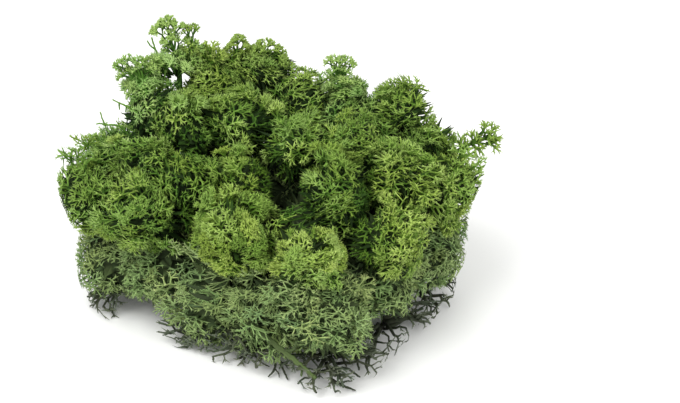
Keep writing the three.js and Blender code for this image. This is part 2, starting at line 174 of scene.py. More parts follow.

# The layers of heads on a tuft, each laid in what the layers before it have left free. radii: of the heads;
# reach: how far out their domes end, in core radii; tries: places that are tried on each tuft; buried and
# clear: how near another tuft's centre a head and its view of the sky may come, in that tuft's core radii;
# own and other: how near two heads of one tuft and of two tufts may stand, as shares of their radii; inward:
# how far heads may lean to the heart; bright: how light their tips are, lower for the deeper layers as painted
# shade of the clump's inside. Wisps stand out of the heads of an upper tuft, and mind only each other.
LAYER_FIELDS = (
    "kind", "radii", "reach", "tries", "buried", "clear", "own", "other", "inward", "bright", "is_wisp",
)
LAYERS = tuple(dict(zip(LAYER_FIELDS, row)) for row in (
    (HEAD, (4.3, 6.4), (1.16, 1.52), 340, 1.04, 0.86, 0.80, 0.66, 0.35, 1.0, False),
    (HEAD, (3.6, 5.0), (1.06, 1.30), 210, 0.92, 0.55, 0.58, 0.54, 0.45, 0.82, False),
    (UNDERGROWTH, (2.6, 3.6), (0.86, 1.12), 280, 0.8, 0.42, 0.58, 0.56, 0.85, 0.66, False),
    (ANTLER, (3.4, 4.6), (1.42, 1.62), 9, 1.3, 1.05, 0.5, 0.5, 0.1, 1.0, True),
))
LAYOUT_SEED = 11

# Lines of sight that heads leave free from end to end, through the clump or past its edge: x, y, z and radius
OPENINGS = (
    (-55, 15, 70.8, 3), (-36.8, 28, 81, 3), (-31, 28, 79.3, 2.4), (-57, 22, 82, 3.2), (-57, 22, 78, 3.4),
    (61.5, 24, 74, 4), (61, 24, 77.5, 4),
)
# Dark clefts that only undergrowth fills, each running into the clump along the line of sight from a mouth
# the tips of heads in these clefts are painted darker by light_at: painted shade
CREVICES = (
    (-28.6, -6.5, 71.9, 4.4), (-25.5, -9.7, 71.6, 3.4), (-21.3, -10, 70.2, 2.8), (-22.1, 2.7, 75.3, 2.6),
    (-22.1, 4.9, 77.3, 2.6), (-2.6, 3.5, 75.7, 3.4), (-2.3, 1.7, 71.7, 3.2), (-17.5, 1.1, 68.7, 2.6),
    (-3.2, -18.7, 68.7, 4.2), (-0.7, -19.5, 65.9, 5.2), (1.7, -19, 62.3, 5.2), (5, -21.5, 60.5, 4.8),
    (8.9, -25.5, 59.5, 4.6), (12, -31.5, 58.5, 6), (5.6, -13.3, 70, 2.8), (10.6, -15.5, 66, 2.6),
    (34, -29.7, 65.4, 3.2), (33.5, -33.4, 62.3, 3.8), (34.2, -36.2, 57.8, 5), (34.2, -41.1, 54.7, 5.4),
    (33.8, -46.5, 51.5, 5.2), (33.4, -49, 46.6, 4.2), (-29, -22.7, 54.5, 4.2), (-31.3, -22.4, 48.4, 5),
    (-32.9, -23.5, 43.2, 4.4), (62.6, -3.4, 65.4, 4), (2, -50, 57.5, 2.6), (7.2, -46, 60.5, 2.6),
    (-9.5, -49.1, 52.4, 1.8), (37.3, -17.4, 69.1, 2.6), (37, -20.5, 67.6, 3), (36, -26, 66.5, 2.8),
    (-48, 8, 66, 4), (-40.8, 16, 80.6, 1.8), (-39.6, 14.5, 77.2, 2), (-38, 12.5, 73.4, 2.2),
)
CREVICE_HEIGHT, CREVICE_DEPTH = 6.0, 11.0  # how far they reach out of and into their mouths
OPENING_SHARE, CREVICE_SHARE = 0.6, 0.5  # the share of a head's radius that has to keep clear of them

# The open sprays: the tuft, the spray's root and fork, the kind of its heads, and each head's top and radius
SPRAYS = (
    ("crest_end", (-33.6, 28, 70), (-35.2, 29.5, 90), UMBEL,
     ((-40.6, 30, 100.6, 4.4), (-37.6, 30, 103.4, 5.2), (-34.2, 30, 101.8, 4.6), (-37, 27, 99, 4.6))),
    ("crest_end", (-33.6, 28, 72), (-34, 29.5, 88), SMALL_UMBEL,
     ((-36.4, 30, 95.6, 4), (-32.8, 30, 96.6, 4), (-34.6, 27, 92, 3.8), (-38.2, 30, 92, 3.2))),
    ("crest_end", (-42, 27, 70), (-41, 29, 81.5), SMALL_UMBEL,
     ((-46.4, 29, 87.4, 4.2), (-43.2, 29, 88, 4.2), (-40, 29, 86, 3.8), (-46.4, 28, 83, 3.6),
      (-43, 26, 84.5, 3.6))),
    ("crest_end", (-29.3, 29, 72), (-29.6, 30, 84), SMALL_UMBEL,
     ((-29.2, 30, 95, 4.4), (-26.6, 31, 92.5, 4), (-31.4, 29, 91, 4), (-28, 28, 89, 4))),
    ("crest_fork", (-28, 31, 80), (-28.6, 30.5, 93), SMALL_UMBEL,
     ((-30, 30, 99.6, 3.8), (-27.6, 31, 99.8, 3.8), (-25.6, 31, 95, 3.8), (-28.6, 28, 96, 3.6))),
    ("crest_left", (-23, 31, 80), (-22, 31, 84), SMALL_UMBEL,
     ((-21.7, 31, 93, 4), (-17.8, 31, 89.6, 4), (-25, 31, 90, 3.8))),
    ("crest_head", (-2, 36, 78), (-1.5, 36, 82), UMBEL,
     ((-1.8, 36, 91, 5.2), (3.2, 36, 88.4, 5.2), (-6, 36, 88.4, 4.2), (6, 35.5, 84.6, 4.4),
      (1, 34, 85, 4.6))),
    ("crest_head", (5, 35, 74), (6.5, 35, 76.5), SMALL_UMBEL, ((9, 34, 81.4, 3.2),)),
    ("left_sprig", (-42, 22, 70), (-46.8, 22.5, 80.5), SMALL_UMBEL,
     ((-55, 22, 90, 3.4), (-52.6, 22, 91.4, 3.4), (-54.8, 22, 86, 3.2), (-51.8, 22, 87, 3.4),
      (-49, 22, 91.4, 3.4), (-46.8, 22, 91, 3.6), (-48.6, 22, 87.6, 3.4), (-51.6, 22, 80.6, 3),
      (-49.4, 22, 83, 3.2), (-44.6, 23, 88.4, 3.8), (-42.2, 23, 87.6, 3.6))),
    ("right_rear", (64, 15, 54), (74.6, 18.5, 57), STAGHORN,
     ((84, 19, 63.4, 4.2), (80.6, 19, 65.4, 4.2), (85, 19, 58.4, 3.6), (75.6, 19, 61.6, 3.4),
      (79.6, 18, 55.6, 3.4), (81.6, 20, 61.4, 3.8), (77, 19, 60, 3.6))),
    ("right_rear", (60, 14, 50), (70.6, 17.5, 55), STAGHORN,
     ((70.2, 17, 61.2, 3.4), (73, 17, 59, 3.2), (74, 17, 54.4, 3.2))),
    ("crest_small", (-12.6, 35, 76), (-12.3, 35, 86.5), UMBEL,
     ((-11.4, 35, 93.4, 3.7), (-13.8, 35, 90.8, 2.8), (-9.2, 35, 90.8, 2.8))),
    ("crest_sprig", (26, 26, 68), (26, 26, 79), SMALL_UMBEL,
     ((21.8, 26, 89, 3), (24, 26, 89.4, 3.2), (26.2, 26, 88.8, 3.2), (28.4, 26, 89.4, 3),
      (30.2, 26, 87.6, 2.8), (24.6, 25, 86, 2.6), (28.2, 25, 85.4, 2.6), (22.6, 26, 84.4, 2.4))),
)

# tuft: its bare twigs, each a path with its half width
TWIGS = {
    "crest_end": (
        (0.5, ((-38, 29, 82), (-40.6, 29, 87.4), (-42, 29, 91.6), (-43, 29, 96))),
        (0.4, ((-41.8, 29, 91), (-43.8, 29, 92.6), (-44.6, 29, 94.6))),
        (0.6, ((-34.6, 27, 84), (-36.8, 27, 85.2), (-38.4, 27, 83.6), (-38.8, 27, 79.6))),
    ),
    "left_rear": (
        (0.45, ((-52, 15, 63), (-54.6, 15, 66.6), (-57.5, 15, 67.2), (-60.2, 15, 67), (-61.2, 15, 69.4),
                (-61.8, 15, 72.6))),
        (0.4, ((-60, 15, 67), (-62, 15, 67.8), (-63.6, 15, 67.4))),
    ),
    "left_shoulder": (
        (0.42, ((-46, 20, 68), (-50.2, 18, 71.8), (-52.4, 18, 73.4), (-54.6, 18, 74.4), (-57.4, 18, 76))),
        (0.38, ((-52.4, 18, 73.4), (-52.8, 18, 70.8))),
        (0.38, ((-55, 18, 74.6), (-55, 18, 71.8))),
    ),
    "low_front_4": (
        (1.3, ((-8, -44, 22), (0, -51.6, 18.4), (7.5, -56.4, 14.2), (12.6, -59.2, 11.4), (16.8, -60.6, 7.6))),
        (0.7, ((6, -55.4, 15.2), (9, -56.4, 16.2), (10.4, -56.6, 18.4), (10.6, -57, 20.4))),
        (0.6, ((11, -58.4, 12.2), (12.6, -59, 9.6), (12.2, -59.6, 7.4))),
    ),
}
# u at the two ends of the bare twigs: of the thick old stem, and of the others
TWIG_CLIMBS = {"low_front_4": (0.02, 0.09)}
TWIG_CLIMB = (0.3, 0.6)
TWIG_WOBBLE, TWIG_UNEVENNESS = 0.16, 0.14  # how crooked and how uneven they are, in girths
TWIG_TAPER, TWIG_END = 0.6, 0.45  # how thin they get, and again at their very end
# tuft: the larger dead stems under it, in the same way
DEAD_TWIGS = {
    "low_front_4": (
        (0.7, ((2.1, -41, 8), (2.5, -44.5, 5), (2.9, -47, 2.6), (1.4, -49.6, 1.2), (0.2, -51, 1.0))),
        (0.6, ((2.4, -43.6, 5.6), (4.8, -47.4, 3.4), (6.8, -51.4, 1.2), (7.2, -52.6, 0.9))),
        (0.35, ((3.6, -45.6, 4.4), (5.6, -46.4, 3.8), (7.4, -48.4, 2.6))),
        (0.35, ((2.6, -48, 2.2), (4, -49.8, 1.6), (4.2, -51.6, 1.0))),
        (0.5, ((-6, -40, 6), (-4, -44, 3.4), (0.6, -46.4, 2))),
    ),
    "low_front_5": (
        (0.85, ((19.4, -49.4, 2.0), (24, -48.6, 2.8), (28.3, -48, 3), (33, -52.6, 1.8))),
        (0.7, ((26, -43, 8), (27, -45.6, 5), (28.3, -48, 3))),
        (0.75, ((22.8, -53.6, 1.4), (25.6, -56.4, 1.6), (28.4, -58, 1.4), (31.4, -59.4, 1.0))),
        (0.9, ((31, -42, 9), (32, -45.6, 5), (32.8, -49, 2.4))),
        (0.5, ((25.6, -56.4, 1.6), (28, -54.6, 1.6), (30.4, -54.2, 1.4))),
    ),
}
DEAD_TWIG_CLIMB, DEAD_TWIG_TAPER = (0.1, 0.4), 0.3


def bed_point(along, across, z):
    """A point of the bed, which stands turned on the floor."""
    c, s = math.cos(BED_TURN), math.sin(BED_TURN)
    return np.array([along * c - across * s, along * s + across * c, z])


def bed_walls():
    """The bed's sides and cut-off corners as planes: normal . point <= limit."""
    half_length, half_width = BED_LENGTH / 2, BED_WIDTH / 2
    diagonal = (half_length + half_width - 2 * BED_CORNER) * math.sqrt(0.5) + BED_CORNER
    limits = (half_length, diagonal, half_width, diagonal)
    walls = []
    for k in range(8):
        angle = k * math.pi / 4
        walls.append((bed_point(math.cos(angle), math.sin(angle), -BED_LEAN), limits[k % 4]))
    return walls


WALLS = bed_walls()
RIM = (44.0, 58.0)  # the heights between which the tufts begin to bulge over the bed's sides
WALL_OVERHANG = {"upper": (-0.6, 1.6), "lower": (1.0, 1.0), "wires": (0.0, 0.0), "spray": (60.0, 60.0)}
WALL_SOFTNESS = 4.5  # how far inside the bed's sides the tufts start to give way to them
FLOOR_CLEARANCE = 0.35


def bed_limit(place):
    """A function that holds points inside the bed."""

    def limit(points):
        points = points.copy()
        overhang = np.interp(points[:, 2], RIM, WALL_OVERHANG[place])
        for normal, wall in WALLS:
            beyond = np.maximum(points @ normal - (wall + overhang - WALL_SOFTNESS), 0)
            kept = WALL_SOFTNESS * (1 - np.exp(-beyond / WALL_SOFTNESS))
            points -= (beyond - kept)[:, None] * (normal * [1, 1, 0])
        points[:, 2] = np.maximum(points[:, 2], FLOOR_CLEARANCE)
        return points

    return limit


# Waves that bend the whole clump, so that nothing in it is round or straight: length, height, how many
WAVES = ((30.0, 1.4, 5), (13.0, 0.7, 6), (5.5, 0.22, 6))
WAVE_SCATTER = (0.8, 1.25)  # of their lengths
WAVE_SEED = 5


def list_waves():
    """The waves as direction, height and phase."""
    random = np.random.default_rng(WAVE_SEED)
    waves = []
    for length, height, count in WAVES:
        for _ in range(count):
            way = unit(random.normal(size=3)) * 2 * math.pi / (length * random.uniform(*WAVE_SCATTER))
            waves.append((way, unit(random.normal(size=3)) * height, random.uniform(0, 2 * math.pi)))
    return waves


def unit(vectors):
    return vectors / np.maximum(np.linalg.norm(vectors, axis=-1, keepdims=True), 1e-9)


def dot(a, b):
    return (a * b).sum(-1)


ALL_WAVES = list_waves()


def sway(points):
    """The points, moved by all the waves."""
    moved = points.copy()
    for way, height, phase in ALL_WAVES:
        moved += np.sin(points @ way + phase)[:, None] * height
    return moved


# ---- Growing ----
class Growth:
    """The mesh of one piece while it grows. A corner's marks are how far out it is (u) and its tint (v)."""

    def __init__(self, seed):
        self.random = np.random.default_rng(seed)
        self.points, self.triangles, self.marks = [], [], []
        self.count = 0

    def add_points(self, points):
        first = self.count
        self.points.append(points)
        self.count += len(points)
        return np.arange(first, self.count)

    def add_triangles(self, triangles, marks):
        self.triangles.append(triangles)
        self.marks.append(marks)

    def jitter(self, shape, size):
        return self.random.uniform(-size, size, shape)

    def all_points(self):
        if len(self.points) > 1:
            self.points = [np.concatenate(self.points)]
        return self.points[0]


TINT_STEP = 0.007  # how far the tint moves from face to face round a shoot


def corner_marks(*corners):
    """The marks of many triangles, from the u and v of their first, second and third corners."""
    return np.stack([np.stack(corner, 1) for corner in corners], 1)


def wall_faces(growth, a, b, c, d, low_u, high_u, v0):
    """Two faces for each four points, where a and b are the lower ones."""
    v1 = v0 + TINT_STEP
    growth.add_triangles(np.stack([a, b, c], 1), corner_marks((low_u, v0), (low_u, v1), (high_u, v1)))
    growth.add_triangles(np.stack([a, c, d], 1), corner_marks((low_u, v0), (high_u, v1), (high_u, v0)))


def side_faces(growth, foot, ring, low_u, high_u, tint):
    """The six faces of each shoot between its foot and its ring."""
    for k in range(3):
        n = (k + 1) % 3
        corners = (foot[:, k], foot[:, n], ring[:, n], ring[:, k])
        wall_faces(growth, *corners, low_u, high_u, tint + TINT_STEP * k)


def tip_faces(growth, foot, tip, low_u, high_u, tint):
    """The three faces of each last shoot, from its foot to its point."""
    for k in range(3):
        n = (k + 1) % 3
        v0 = tint + TINT_STEP * k
        v1 = v0 + TINT_STEP
        faces = np.stack([foot[:, k], foot[:, n], tip], 1)
        growth.add_triangles(faces, corner_marks((low_u, v0), (low_u, v1), (high_u, (v0 + v1) / 2)))


def rings_at(growth, foot, centres, ways, girth):
    """Three points round each centre, turned as the foot's three points are, so that no shoot is twisted."""
    corners = growth.all_points()[foot]
    spokes = corners - corners.mean(1, keepdims=True)
    across = unit(np.cross(ways, np.where(np.abs(ways[:, 2:]) < 0.8, [[0.0, 0, 1]], [[1.0, 0, 0]])))
    over = np.cross(ways, across)
    turn = np.zeros(len(foot), complex)
    for k in range(3):
        spoke = dot(spokes[:, k], across) + 1j * dot(spokes[:, k], over)
        turn += spoke * np.exp(-2j * np.pi * k / 3)
    phase = np.angle(turn)
    points = []
    for k in range(3):
        angle = (phase + 2 * np.pi * k / 3)[:, None]
        points.append(centres + girth[:, None] * (across * np.cos(angle) + over * np.sin(angle)))
    return np.stack(points, 1)


STEM_FOOT = 1.25  # how much wider a head's stem is at its root than at its first fork
ROOT_MARK = 0.04  # u at a head's root
FORK_MARK, FORK_MARK_RISE = 0.22, 0.66  # u at its first fork, and what it gains up to the last one
CROTCH_RISE = 0.7  # how high a fork's crotch stands, in half widths
GIRTH_SCATTER, MARK_SCATTER, TINT_SCATTER = 0.15, 0.06, 0.02
LEAN_SCATTER, SWING_SCATTER, SHELL_SCATTER, STAR_SCATTER = 0.32, 0.5, 0.14, 0.3
SHORTEST_SHOOT, LONGEST_SHOOT = 0.35, 1.7  # in millimetres, and in the distance between two shells


def fork(growth, kind, level, ends, ways, homes, rings, ring, crotch):
    """The feet and ways of three new shoots at each end. They stand on the ring's edges and the crotch."""
    spread = math.radians(kind["spreads"][level])
    all_foot, all_ways = [], []
    for k in range(3):
        m = (k + 1) % 3
        outward = unit(rings[:, k] + rings[:, m] - 2 * ends)
        sideways = np.cross(ways, outward)
        lean = spread * (1 + growth.jitter(len(ends), LEAN_SCATTER))
        swing = growth.jitter(len(ends), SWING_SCATTER)
        toward = outward * np.cos(swing)[:, None] + sideways * np.sin(swing)[:, None]
        way = ways * np.cos(lean)[:, None] + toward * np.sin(lean)[:, None]
        all_ways.append(unit(way + kind["pull"] * unit(ends + way * 0.5 - homes)))
        all_foot.append(np.stack([ring[:, k], ring[:, m], crotch], 1))
    return np.concatenate(all_foot), np.concatenate(all_ways)


def shoot_lengths(growth, kind, level, starts, ways, homes, radii):
    """How long the shoots are that end on the kind's next shell."""
    shell = kind["shells"][level] * radii * (1 + growth.jitter(len(starts), SHELL_SCATTER))
    offset = starts - homes
    along = dot(ways, offset)
    length = -along + np.sqrt(np.maximum(along**2 - dot(offset, offset) + shell**2, 0.0))
    previous = kind["shells"][level - 1] if level else 0.0
    longest = (kind["shells"][level] - previous) * radii * LONGEST_SHOOT
    return np.clip(length, SHORTEST_SHOOT, longest)


def grow_heads(growth, roots, homes, radii, tints, tips, kind, limit):
    """Heads, each one stem from its root to its home, and from there ever smaller forks of three up to stars,
    which end on a dome round the home. tips: how light each head's tips are; limit: a function that keeps
    points inside the piece's space."""
    n = len(roots)
    ways = unit(homes - roots)
    across = unit(np.cross(ways, unit(growth.jitter((n, 3), 1.0))))
    over = np.cross(ways, across)
    base = []
    for k in range(3):
        angle = 2 * math.pi * k / 3
        base.append(roots + STEM_FOOT * kind["girths"][0] * (across * math.cos(angle) + over * math.sin(angle)))
    foot = growth.add_points(limit(np.concatenate(base))).reshape(3, n).T
    u = np.full(n, ROOT_MARK)
    growth.add_triangles(foot[:, ::-1], corner_marks(*((u, tints + TINT_STEP * k) for k in range(3))))
    starts, ends = roots, homes
    levels = len(kind["shells"])
    for level in range(levels + 1):
        girth = kind["girths"][level] * (1 + growth.jitter(len(ends), GIRTH_SCATTER))
        rings = rings_at(growth, foot, ends, ways, girth)
        ring = growth.add_points(limit(rings.reshape(-1, 3))).reshape(-1, 3)
        rise = FORK_MARK + FORK_MARK_RISE * level / levels
        next_u = tips * rise * (1 + growth.jitter(len(ends), MARK_SCATTER))
        side_faces(growth, foot, ring, u, next_u, tints)
        crotch = growth.add_points(limit(ends + ways * (girth * CROTCH_RISE)[:, None]))
        foot, ways = fork(growth, kind, level, ends, ways, homes, rings, ring, crotch)
        starts, homes = np.tile(ends, (3, 1)), np.tile(homes, (3, 1))
        tips, radii, u = np.tile(tips, 3), np.tile(radii, 3), np.tile(next_u, 3)
        tints = np.clip(np.tile(tints, 3) + growth.jitter(len(foot), TINT_SCATTER), 0.01, 0.97)
        if level == levels:
            break
        ends = starts + ways * shoot_lengths(growth, kind, level, starts, ways, homes, radii)[:, None]
    length = kind["star"] * (1 + growth.jitter(len(foot), STAR_SCATTER))
    tip = growth.add_points(limit(starts + ways * length[:, None]))
    tip_u = np.clip(tips * (1 + growth.jitter(len(foot), MARK_SCATTER)), 0, 1)
    tip_faces(growth, foot, tip, u, tip_u, tints)


def grow_tube(growth, path, girths, climbs, tint, sides, limit):
    """A closed round stem along a path of points."""
    path, girths = np.asarray(path, float), np.asarray(girths, float)
    ways = unit(np.gradient(path, axis=0))
    side = unit(np.cross(ways[0], (0.31, 0.94, 0.17)))
    angles = np.arange(sides) * 2 * math.pi / sides
    rings = []
    for point, way, girth in zip(path, ways, girths):
        side = unit(side - way * (side @ way))
        over = np.cross(way, side)
        circle = np.cos(angles)[:, None] * side + np.sin(angles)[:, None] * over
        rings.append(point + girth * circle)
    ring = growth.add_points(limit(np.concatenate(rings))).reshape(-1, sides)
    steps = np.clip(tint, 0.01, 0.95) + np.arange(sides) * TINT_STEP
    climbs = np.asarray(climbs, float)
    low, high = ring[:-1], ring[1:]
    low_u, high_u = np.repeat(climbs[:-1], sides), np.repeat(climbs[1:], sides)
    corners = (low, np.roll(low, -1, axis=1), np.roll(high, -1, axis=1), high)
    wall_faces(growth, *(c.ravel() for c in corners), low_u, high_u, np.tile(steps, len(low)))
    for end, climb in ((ring[0][::-1], climbs[0]), (ring[-1], climbs[-1])):
        for k in range(1, sides - 1):
            marks = np.array([[[climb, steps[0]], [climb, steps[k]], [climb + 0.01, steps[k]]]])
            growth.add_triangles(np.array([[end[0], end[k], end[k + 1]]]), marks)


def bowed_path(start, end, bow, count, wobble, random):
    """Points along a bow from start to end, each a little out of line."""
    start, end = np.asarray(start, float), np.asarray(end, float)
    share = np.linspace(0, 1, count)[:, None]
    middle = np.sin(share * math.pi)
    return start + (end - start) * share + middle * (bow + random.uniform(-wobble, wobble, (count, 3)))


def smooth_path(points, splits):
    """A finer path through the points, without sharp turns."""
    points = np.asarray(points, float)
    for _ in range(splits):
        low, high = points[:-1], points[1:]
        cut = np.stack([low * 0.75 + high * 0.25, low * 0.25 + high * 0.75], 1).reshape(-1, 3)
        points = np.concatenate([points[:1], cut, points[-1:]])
    return points


def icosphere(splits):
    """The points and triangles of a ball of radius 1: an icosahedron whose triangles are split in four."""
    golden = (1 + math.sqrt(5)) / 2
    points = []
    for a in (-1, 1):
        for b in (-golden, golden):
            points += [(0, a, b), (a, b, 0), (b, 0, a)]
    points = [np.array(p, float) / math.hypot(1, golden) for p in points]
    edge = min(np.linalg.norm(points[0] - p) for p in points[1:])
    triangles = []
    for i in range(12):
        for j in range(i + 1, 12):
            for k in range(j + 1, 12):
                sides = (points[i] - points[j], points[j] - points[k], points[k] - points[i])
                if all(np.linalg.norm(s) < edge * 1.1 for s in sides):
                    facing = np.dot(np.cross(points[j] - points[i], points[k] - points[i]), points[i])
                    triangles.append((i, j, k) if facing > 0 else (i, k, j))
    for _ in range(splits):
        middles, finer = {}, []

        def middle(i, j):
            key = (min(i, j), max(i, j))
            if key not in middles:
                point = points[i] + points[j]
                points.append(point / np.linalg.norm(point))
                middles[key] = len(points) - 1
            return middles[key]

        for i, j, k in triangles:
            a, b, c = middle(i, j), middle(j, k), middle(k, i)
            finer += [(i, a, c), (a, j, b), (c, b, k), (a, b, c)]
        triangles = finer
    return np.array(points), np.array(triangles)


CORE_SHARE, HIDDEN_CORE_SHARE = 0.62, 0.88  # the core's radius, in core radii of the solid
CORE_LEAN, LOWER_CORE_RISE = 0.2, 0.2  # how much longer it is to the heart, and a lower one to the top
CORE_SCATTER = 0.06
THORNS, THORN_SCATTER = (0.14, 0.5), 0.2  # the heights of its thorns, in core radii, and how much they lean
THORN_MARKS = (0.03, 0.14)  # u at their points, kept low so that the thorns stay dark as painted shade
CORE_POINTS, CORE_TRIANGLES = icosphere(2)


def grow_core(growth, centre, radius, inward, core_share, rise, limit):
    """A small dark core, rough and thorny, whose dark colour is painted shade of the tuft's inside. It is
    longer towards the heart, and by its rise towards the top.
    """
    lean, height = np.clip(CORE_POINTS @ inward, 0, 1), np.clip(CORE_POINTS[:, 2], 0, 1)
    share = core_share + CORE_LEAN * lean**2 + rise * height**2 + growth.jitter(len(CORE_POINTS), CORE_SCATTER)
    index = growth.add_points(limit(centre + CORE_POINTS * (radius * share)[:, None]))
    middles = CORE_POINTS[CORE_TRIANGLES].mean(1)
    height = radius * (share[CORE_TRIANGLES].mean(1) + growth.random.uniform(*THORNS, len(middles)))
    places = centre + (middles + growth.jitter(middles.shape, THORN_SCATTER)) * height[:, None]
    thorns = growth.add_points(limit(places))
    low, high = np.full(len(thorns), 0.01), growth.random.uniform(*THORN_MARKS, len(thorns))
    tints = growth.random.uniform(0.02, 0.95, len(thorns))
    tip_faces(growth, index[CORE_TRIANGLES], thorns, low, high, tints)


# ---- The layout of the heads ----
def list_tufts():
    """All tufts, upper ones first."""
    tufts = []
    for name, (x, y, z, radius, tone) in UPPER_TUFTS.items():
        tuft = {"name": name, "centre": np.array([x, y, z], float), "radius": radius, "tone": tone}
        tufts.append({**tuft, "heights": HEIGHTS.get(name, UPPER_HEIGHTS)})
    for name, (along, across, z, radius, lowest) in LOWER_TUFTS.items():
        tuft = {"name": name, "centre": bed_point(along, across, z), "radius": radius, "tone": "shade"}
        tufts.append({**tuft, "heights": (lowest, math.inf)})
    for tuft in tufts:
        tuft["is_upper"] = tuft["name"] in UPPER_TUFTS
        tuft["is_airy"] = tuft["name"] in AIRY_TUFTS
        tuft["inward"] = unit(HEART - tuft["centre"])
    return tufts


CAMERA_TILT = math.radians(31.5)
VIEW_LINE = np.array([0, math.cos(CAMERA_TILT), -math.sin(CAMERA_TILT)])


def meets(lines, before, beyond, place, reach):
    """Whether a place comes within its reach of one of these wide lines along the line of sight."""
    place = sway(place[None])[0]
    for x, y, z, radius in lines:
        away = place - (x, y, z)
        depth = min(max(away @ VIEW_LINE, -before), beyond)
        if np.linalg.norm(away - VIEW_LINE * depth) < radius + reach:
            return True
    return False


def closes_an_opening(place, size):
    return meets(OPENINGS, math.inf, math.inf, place, size * OPENING_SHARE)


def fills_a_crevice(place, size):
    return meets(CREVICES, CREVICE_HEIGHT, CREVICE_DEPTH, place, size * CREVICE_SHARE)


def is_open(point, way, centres, cores, buried, clear):
    """Whether a head at the point that grows along way is in the open, between the other tufts."""
    away = centres - point
    if (np.linalg.norm(away, axis=1) < buried * cores).any():
        return False
    for direction in (way, unit(way + [0, 0, 1.0]), unit(way + unit(point - HEART))):
        ahead = np.maximum(away @ direction, 0)
        miss = np.linalg.norm(away - ahead[:, None] * direction, axis=1)
        if (miss >= clear * cores).all():
            return True
    return False


def is_crowded(place, size, index, layer, laid):
    """Whether a head of this size there would stand too near to one that is laid already."""
    near = np.where(laid[:, 4] == index, layer["own"], layer["other"])
    return (np.linalg.norm(laid[:, :3] - place, axis=1) < near * (size + laid[:, 3])).any()


MIDDLE_OUT, TOP_OUT = 0.6, 0.8  # how far out of its home a head's middle and top lie, in its radii
USUAL_RADIUS = 12.5  # of a solid's core: smaller tufts have smaller heads, within these shares
HEAD_SHARES = (0.6, 1.1)


def lay_out_heads(tufts):
    """Gives each tuft its heads: for each layer, their homes, ways and radii."""
    random = np.random.default_rng(LAYOUT_SEED)
    centres = np.array([t["centre"] for t in tufts])
    cores = np.array([t["radius"] for t in tufts], float)
    laid = np.empty((0, 5))  # the place, size and tuft of each head
    for tuft in tufts:
        tuft["layers"] = []
    for layer in LAYERS:
        if layer["is_wisp"]:
            laid = laid[:0]
        for index, tuft in enumerate(tufts):
            heads = []
            tuft["layers"].append((layer, heads))
            if layer["is_wisp"] and not tuft["is_upper"]:
                continue
            if layer["kind"] is HEAD and tuft["name"] in HIDDEN_TUFTS:
                continue
            if layer is LAYERS[0]:
                for x, y, z, size in DIP_HEADS.get(tuft["name"], ()):
                    home = np.array([x, y, z], float)
                    way = unit(home - tuft["centre"])
                    laid = np.vstack([laid, (*(home + way * size * MIDDLE_OUT), size, index)])
                    heads.append((home, way, size))
            others = np.arange(len(tufts)) != index
            radius = tuft["radius"]
            tries = unit(random.normal(size=(layer["tries"], 3)))
            share = np.clip(radius / USUAL_RADIUS, *HEAD_SHARES)
            try_sizes = random.uniform(*layer["radii"], size=len(tries)) * share
            reaches = random.uniform(*layer["reach"], size=len(tries)) * REACHES.get(tuft["name"], 1.0)
            for way, size, reach in zip(tries, try_sizes, reaches):
                if way @ tuft["inward"] > layer["inward"]:
                    continue
                home = tuft["centre"] + way * (reach * radius - size) + LEANS.get(tuft["name"], 0)
                if not tuft["heights"][0] < home[2] < tuft["heights"][1]:
                    continue
                place = home + way * size * MIDDLE_OUT
                if is_crowded(place, size, index, layer, laid):
                    continue
                top = home + way * size * TOP_OUT
                if not is_open(top, way, centres[others], cores[others], layer["buried"], layer["clear"]):
                    continue
                if closes_an_opening(place, size):
                    continue
                if layer["kind"] is not UNDERGROWTH and fills_a_crevice(place, size):
                    continue
                laid = np.vstack([laid, (*place, size, index)])
                heads.append((home, way, size))


CREVICE_LIGHT = 0.48  # how light the tips of heads in a cleft are, as painted shade, and below, those of some tufts
TUFT_LIGHT = {
    "front": 1.02, "front_left": 0.88, "middle": 0.86, "middle_left": 0.84, "centre": 0.92,
    "left_shoulder": 1.1, "left_rear": 1.08, "saddle_right": 0.92, "right_end": 1.06, "centre_top": 1.06,
    "left_sprig": 1.12, "crest_end": 1.12, "crest_fork": 1.08, "crest_head": 1.06, "right_top": 0.92,
}
DIM_BELOW, DIM_DEPTH, DIMMEST = 44.0, 14.0, 0.72  # how the low heads of the upper tufts get duller downwards, as painted shade
TIP_SCATTER = 0.1
BROWN_TUFTS = (  # their outer heads are browner than the others
    "crest_left", "crest_fork", "crest_end", "crest_head", "left_sprig", "left_shoulder",
    "right_top", "right_front",
)
HEAD_TINTS, BROWN_TINTS = (0.04, 0.92), (0.45, 0.82)
ROOT_OUT, ROOT_IN = 0.3, 0.15  # how far a head's root lies out of its tuft's middle and towards the heart


def light_at(homes, tuft):
    """How light the tips of heads there are: darker in a cleft as painted shade, and duller low down on an
    upper tuft as painted shade that deepens downwards.
    """
    light = np.array([CREVICE_LIGHT if fills_a_crevice(home, 0) else 1.0 for home in homes])
    light *= TUFT_LIGHT.get(tuft["name"], 1.0)
    if tuft["is_upper"]:
        light *= 1 - (1 - DIMMEST) * np.clip((DIM_BELOW - homes[:, 2]) / DIM_DEPTH, 0, 1)
    return light


